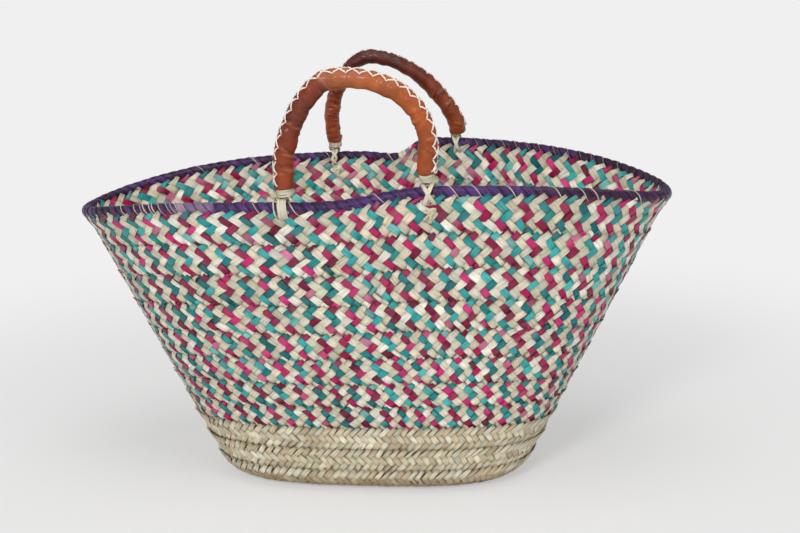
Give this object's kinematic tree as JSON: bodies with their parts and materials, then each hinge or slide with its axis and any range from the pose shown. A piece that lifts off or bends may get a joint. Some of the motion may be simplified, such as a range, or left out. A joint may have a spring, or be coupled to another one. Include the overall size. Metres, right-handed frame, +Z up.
{
  "type": "straw market basket",
  "caption": "Long oval plaited palm-leaf shopping basket with a whipped rim and two leather-covered arched handles lashed to it.",
  "frame": {"origin": "centre of the overall box, on the surface that the basket stands on", "axes": "+X along the basket's long axis to the right as seen from the front, +Y to the back, +Z up"},
  "size_m": [0.5946, 0.2918, 0.4237],
  "materials": {
    "natural_plait": "undyed palm leaf, dry and slightly glossy on the strips",
    "coloured_plait": "palm leaf in cream, magenta and teal strips",
    "twine": "twisted palm fibre, matt",
    "palm_core": "bundled palm leaf, matt",
    "purple_raffia": "satin raffia wound side by side",
    "palm_strip": "pale palm strip, smooth",
    "tan_leather": "waxed tan leather with a soft shine",
    "brown_leather": "waxed red-brown leather with a soft shine",
    "white_thread": "white lacing thread"
  },
  "bodies": {
    "basket": {"floor_centre_plait": "natural_plait", "floor_plait_turn_1": "natural_plait", "floor_plait_turn_2": "natural_plait", "floor_plait_turn_3": "natural_plait", "natural_plait_row_1": "natural_plait", "natural_plait_row_2": "natural_plait", "natural_plait_row_3": "natural_plait", "coloured_plait_row_1": "coloured_plait", "coloured_plait_row_2": "coloured_plait", "coloured_plait_row_3": "coloured_plait", "coloured_plait_row_4": "coloured_plait", "coloured_plait_row_5": "coloured_plait", "coloured_plait_row_6": "coloured_plait", "coloured_plait_row_7": "coloured_plait", "coloured_plait_row_8": "coloured_plait", "sewing_twine_1": "twine", "sewing_twine_2": "twine", "sewing_twine_3": "twine", "sewing_twine_4": "twine", "sewing_twine_5": "twine", "sewing_twine_6": "twine", "sewing_twine_7": "twine", "sewing_twine_8": "twine", "sewing_twine_9": "twine", "sewing_twine_10": "twine", "rim_core": "palm_core", "rim_binding": "purple_raffia", "tie_front_left": "palm_strip", "tie_front_right": "palm_strip", "tie_back_left": "palm_strip", "tie_back_right": "palm_strip", "knot_front_left": "palm_strip", "knot_front_right": "palm_strip", "knot_back_left": "palm_strip", "knot_back_right": "palm_strip"},
    "front_handle": {"front_handle_core": "palm_core", "front_handle_leather": "tan_leather", "front_handle_lacing": "white_thread", "front_handle_wrap_left": "palm_strip", "front_handle_wrap_right": "palm_strip"},
    "back_handle": {"back_handle_core": "palm_core", "back_handle_leather": "brown_leather", "back_handle_lacing": "white_thread", "back_handle_wrap_left": "palm_strip", "back_handle_wrap_right": "palm_strip"}
  },
  "joints": [
    {"name": "front_handle_swing", "type": "hinge", "parent": "basket", "child": "front_handle", "pos_m": [0.004, -0.13445, 0.30092], "axis": [0.995, 0.0044, 0.0996], "range_deg": [-105, 118]},
    {"name": "back_handle_swing", "type": "hinge", "parent": "basket", "child": "back_handle", "pos_m": [0.01, 0.13442, 0.30119], "axis": [-0.9948, 0.0132, -0.1006], "range_deg": [-93, 130]}
  ]
}
